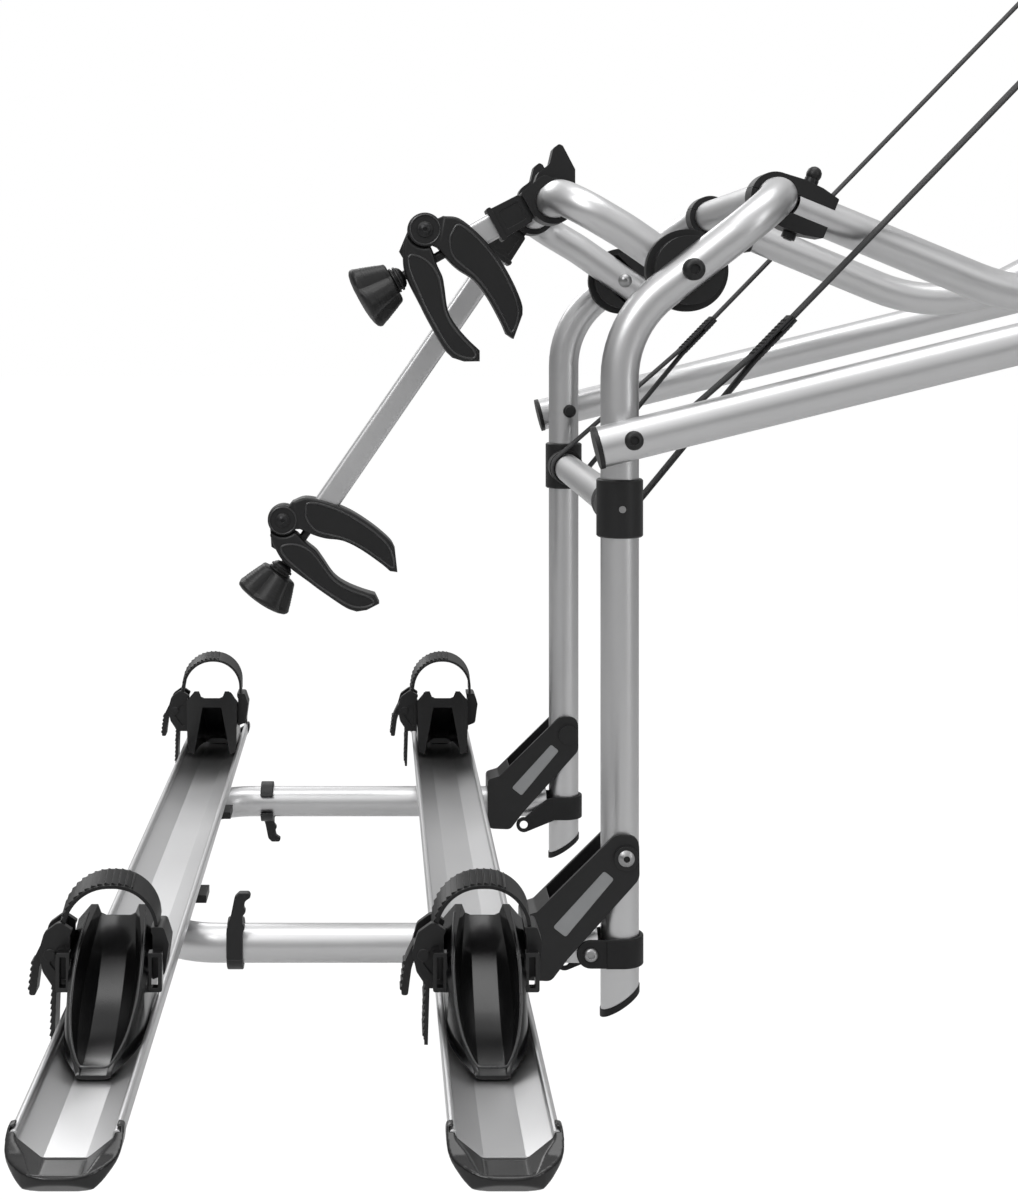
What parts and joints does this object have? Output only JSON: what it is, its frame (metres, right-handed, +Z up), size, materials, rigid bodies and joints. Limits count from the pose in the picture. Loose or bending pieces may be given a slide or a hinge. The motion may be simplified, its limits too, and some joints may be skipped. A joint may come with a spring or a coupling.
{
  "type": "motorhome bike lift",
  "caption": "Folding lift carrier for two bicycles on a motorhome wall: parallel lifting arms, folding platform with wheel rails, hoop with frame claws, winch straps.",
  "frame": {"origin": "middle of the four wall bolts, in the wall's plane", "axes": "+X into the vehicle's wall, +Y across the vehicle, +Z up"},
  "size_m": [1.5523, 1.29, 1.6443],
  "materials": {
    "anodised_tube": "satin anodised",
    "rail_aluminium": "satin extruded",
    "black_moulding": "fine grained",
    "gloss_moulding": "smooth glossy",
    "grey_inlay": "fine textured",
    "bright_steel": "zinc plated",
    "webbing": "woven strap",
    "rubber": "matt"
  },
  "bodies": {
    "wall_frame": {"wall_uprights": "anodised_tube", "wall_feet": "black_moulding", "foot_screws": "bright_steel", "arm_brackets": "black_moulding", "winding_bearings": "black_moulding"},
    "winding_shaft": {"winding_tube": "anodised_tube"},
    "winch_crank": {"winch_worm": "bright_steel"},
    "straps": {"lift_straps": "webbing"},
    "lower_arms": {"lower_arm_tubes": "anodised_tube", "lower_arm_caps": "black_moulding", "lower_arm_bolts": "black_moulding"},
    "upper_arms": {"upper_arm_tubes": "anodised_tube", "top_clamps": "black_moulding", "upper_arm_bolts": "black_moulding"},
    "carrier": {"main_frame": "anodised_tube", "leg_end_caps": "black_moulding", "tee_sleeves": "black_moulding", "cross_tube": "anodised_tube", "frame_screws": "black_moulding", "outer_hinge_discs": "black_moulding"},
    "loops": {"strap_loops": "webbing"},
    "hoop": {"hoop_tube": "anodised_tube", "inner_hinge_discs": "black_moulding", "hinge_bolts": "bright_steel"},
    "platform": {"platform_tube": "anodised_tube", "platform_braces": "black_moulding", "brace_inlays": "grey_inlay", "platform_bolts": "bright_steel", "retaining_straps": "rubber", "wheel_rails": "rail_aluminium", "rail_end_caps": "black_moulding", "rail_saddles": "black_moulding"},
    "near_clip": {"near_clip": "black_moulding"},
    "far_clip": {"far_clip": "black_moulding"},
    "short_arm": {"short_arm_bracket": "black_moulding", "short_arm_tube": "anodised_tube", "short_claw_fixed_jaw": "black_moulding", "short_claw_jaw_screw": "black_moulding"},
    "short_jaw": {"short_claw_moving_jaw": "black_moulding"},
    "short_washer": {"short_claw_thrust_washer": "black_moulding"},
    "short_knob": {"short_claw_knob": "black_moulding"},
    "long_arm": {"long_arm_bracket": "black_moulding", "long_arm_tube": "anodised_tube", "long_claw_fixed_jaw": "black_moulding", "long_claw_jaw_screw": "black_moulding"},
    "long_jaw": {"long_claw_moving_jaw": "black_moulding"},
    "long_washer": {"long_claw_thrust_washer": "black_moulding"},
    "long_knob": {"long_claw_knob": "black_moulding"},
    "inner_near_tray": {"inner_near_tray": "gloss_moulding", "inner_near_tray_strap": "black_moulding"},
    "inner_near_lever": {"inner_near_tray_lever": "black_moulding"},
    "inner_far_tray": {"inner_far_tray": "gloss_moulding", "inner_far_tray_strap": "black_moulding"},
    "inner_far_lever": {"inner_far_tray_lever": "black_moulding"},
    "outer_near_tray": {"outer_near_tray": "gloss_moulding", "outer_near_tray_strap": "black_moulding"},
    "outer_near_lever": {"outer_near_tray_lever": "black_moulding"},
    "outer_far_tray": {"outer_far_tray": "gloss_moulding", "outer_far_tray_strap": "black_moulding"},
    "outer_far_lever": {"outer_far_tray_lever": "black_moulding"}
  },
  "joints": [
    {"name": "lift", "type": "hinge", "parent": "wall_frame", "child": "lower_arms", "pos_m": [-0.20917, 0, -0.38956], "axis": [0, 1, 0], "range_deg": [0, 92]},
    {"name": "carrier_swing", "type": "hinge", "parent": "lower_arms", "child": "carrier", "pos_m": [-1.083, 0, -0.605], "axis": [0, 1, 0], "range_deg": [-92, 0]},
    {"name": "upper_arm_swing", "type": "hinge", "parent": "wall_frame", "child": "upper_arms", "pos_m": [-0.06617, 0, -0.17756], "axis": [0, 1, 0], "range_deg": [0, 92]},
    {"name": "winding_turn", "type": "hinge", "parent": "wall_frame", "child": "winding_shaft", "pos_m": [-0.12392, 0, 0.29353], "axis": [0, 1, 0], "range_deg": [0, 2396]},
    {"name": "crank_turn", "type": "hinge", "parent": "wall_frame", "child": "winch_crank", "pos_m": [-0.15827, -0.271, 0.29353], "axis": [0, 0, 1], "range_deg": [0, 23958]},
    {"name": "strap_swing", "type": "hinge", "parent": "wall_frame", "child": "straps", "pos_m": [-0.12392, 0, 0.29353], "axis": [0, 1, 0], "range_deg": [0, 68], "deforming": ["lift_straps"]},
    {"name": "loop_swing", "type": "hinge", "parent": "carrier", "child": "loops", "pos_m": [-1.088, 0, -0.666], "axis": [0, 1, 0], "range_deg": [0, 68], "deforming": ["strap_loops"]},
    {"name": "hoop_fold", "type": "hinge", "parent": "carrier", "child": "hoop", "pos_m": [-1.027, 0, -0.461], "axis": [0, 1, 0], "range_deg": [0, 54]},
    {"name": "platform_fold", "type": "hinge", "parent": "carrier", "child": "platform", "pos_m": [-1.085, 0, -0.963], "axis": [0, 1, 0], "range_deg": [0, 90], "deforming": ["retaining_straps"]},
    {"name": "near_clip_turn", "type": "hinge", "parent": "platform", "child": "near_clip", "pos_m": [-1.419, -0.25, -1.0417], "axis": [1, 0, 0], "range_deg": [-60, 60]},
    {"name": "far_clip_turn", "type": "hinge", "parent": "platform", "child": "far_clip", "pos_m": [-1.419, 0.25, -1.0417], "axis": [1, 0, 0], "range_deg": [-60, 60]},
    {"name": "short_arm_swing", "type": "hinge", "parent": "hoop", "child": "short_arm", "pos_m": [-1.1325, -0.092, -0.393], "axis": [0, 1, 0], "range_deg": [-15, 60]},
    {"name": "short_jaw_turn", "type": "hinge", "parent": "short_arm", "child": "short_jaw", "pos_m": [-1.25224, -0.092, -0.41935], "axis": [0, 1, 0], "range_deg": [-8, 12]},
    {"name": "short_washer_slide", "type": "slide", "parent": "short_arm", "child": "short_washer", "axis": [-0.8746, 0, -0.4848], "range_m": [-0.00424, 0.00636]},
    {"name": "short_knob_turn", "type": "hinge", "parent": "short_washer", "child": "short_knob", "pos_m": [-1.23866, -0.092, -0.44384], "axis": [-0.8746, 0, -0.4848], "range_deg": [-480, 720]},
    {"name": "long_arm_swing", "type": "hinge", "parent": "hoop", "child": "long_arm", "pos_m": [-1.1325, 0.128, -0.393], "axis": [0, 1, 0], "range_deg": [-15, 60]},
    {"name": "long_jaw_turn", "type": "hinge", "parent": "long_arm", "child": "long_jaw", "pos_m": [-1.39555, 0.128, -0.71395], "axis": [0, 1, 0], "range_deg": [-8, 12]},
    {"name": "long_washer_slide", "type": "slide", "parent": "long_arm", "child": "long_washer", "axis": [-0.5664, 0, -0.8241], "range_m": [-0.00424, 0.00636]},
    {"name": "long_knob_turn", "type": "hinge", "parent": "long_washer", "child": "long_knob", "pos_m": [-1.37248, 0.128, -0.72981], "axis": [-0.5664, 0, -0.8241], "range_deg": [-480, 720]},
    {"name": "inner_near_tray_slide", "type": "slide", "parent": "platform", "child": "inner_near_tray", "axis": [0, -1, 0], "range_m": [-0.15, 0.08]},
    {"name": "inner_near_lever_lift", "type": "hinge", "parent": "inner_near_tray", "child": "inner_near_lever", "pos_m": [-1.2645, -0.5175, -0.9615], "axis": [0, 1, 0], "range_deg": [0, 55]},
    {"name": "inner_far_tray_slide", "type": "slide", "parent": "platform", "child": "inner_far_tray", "axis": [0, 1, 0], "range_m": [-0.15, 0]},
    {"name": "inner_far_lever_lift", "type": "hinge", "parent": "inner_far_tray", "child": "inner_far_lever", "pos_m": [-1.2645, 0.3695, -0.9615], "axis": [0, 1, 0], "range_deg": [0, 55]},
    {"name": "outer_near_tray_slide", "type": "slide", "parent": "platform", "child": "outer_near_tray", "axis": [0, -1, 0], "range_m": [-0.15, 0.08]},
    {"name": "outer_near_lever_lift", "type": "hinge", "parent": "outer_near_tray", "child": "outer_near_lever", "pos_m": [-1.5335, -0.5175, -0.9615], "axis": [0, 1, 0], "range_deg": [0, 55]},
    {"name": "outer_far_tray_slide", "type": "slide", "parent": "platform", "child": "outer_far_tray", "axis": [0, 1, 0], "range_m": [-0.15, 0]},
    {"name": "outer_far_lever_lift", "type": "hinge", "parent": "outer_far_tray", "child": "outer_far_lever", "pos_m": [-1.5335, 0.3695, -0.9615], "axis": [0, 1, 0], "range_deg": [0, 55]}
  ],
  "couplings": [
    {"joint": "carrier_swing", "follows": "lift", "ratio": -1},
    {"joint": "upper_arm_swing", "follows": "lift", "ratio": 1},
    {"joint": "winding_turn", "follows": "lift", "ratio": 26.041},
    {"joint": "crank_turn", "follows": "lift", "ratio": 260.41},
    {"joint": "strap_swing", "follows": "lift", "ratio": 0.73819},
    {"joint": "loop_swing", "follows": "lift", "ratio": 0.73819},
    {"joint": "hoop_fold", "follows": "platform_fold", "ratio": 0.6},
    {"joint": "short_jaw_turn", "follows": "short_knob_turn", "ratio": 0.016667},
    {"joint": "short_washer_slide", "follows": "short_knob_turn", "m_per_rad": 0.000505},
    {"joint": "long_jaw_turn", "follows": "long_knob_turn", "ratio": 0.016667},
    {"joint": "long_washer_slide", "follows": "long_knob_turn", "m_per_rad": 0.000505}
  ]
}
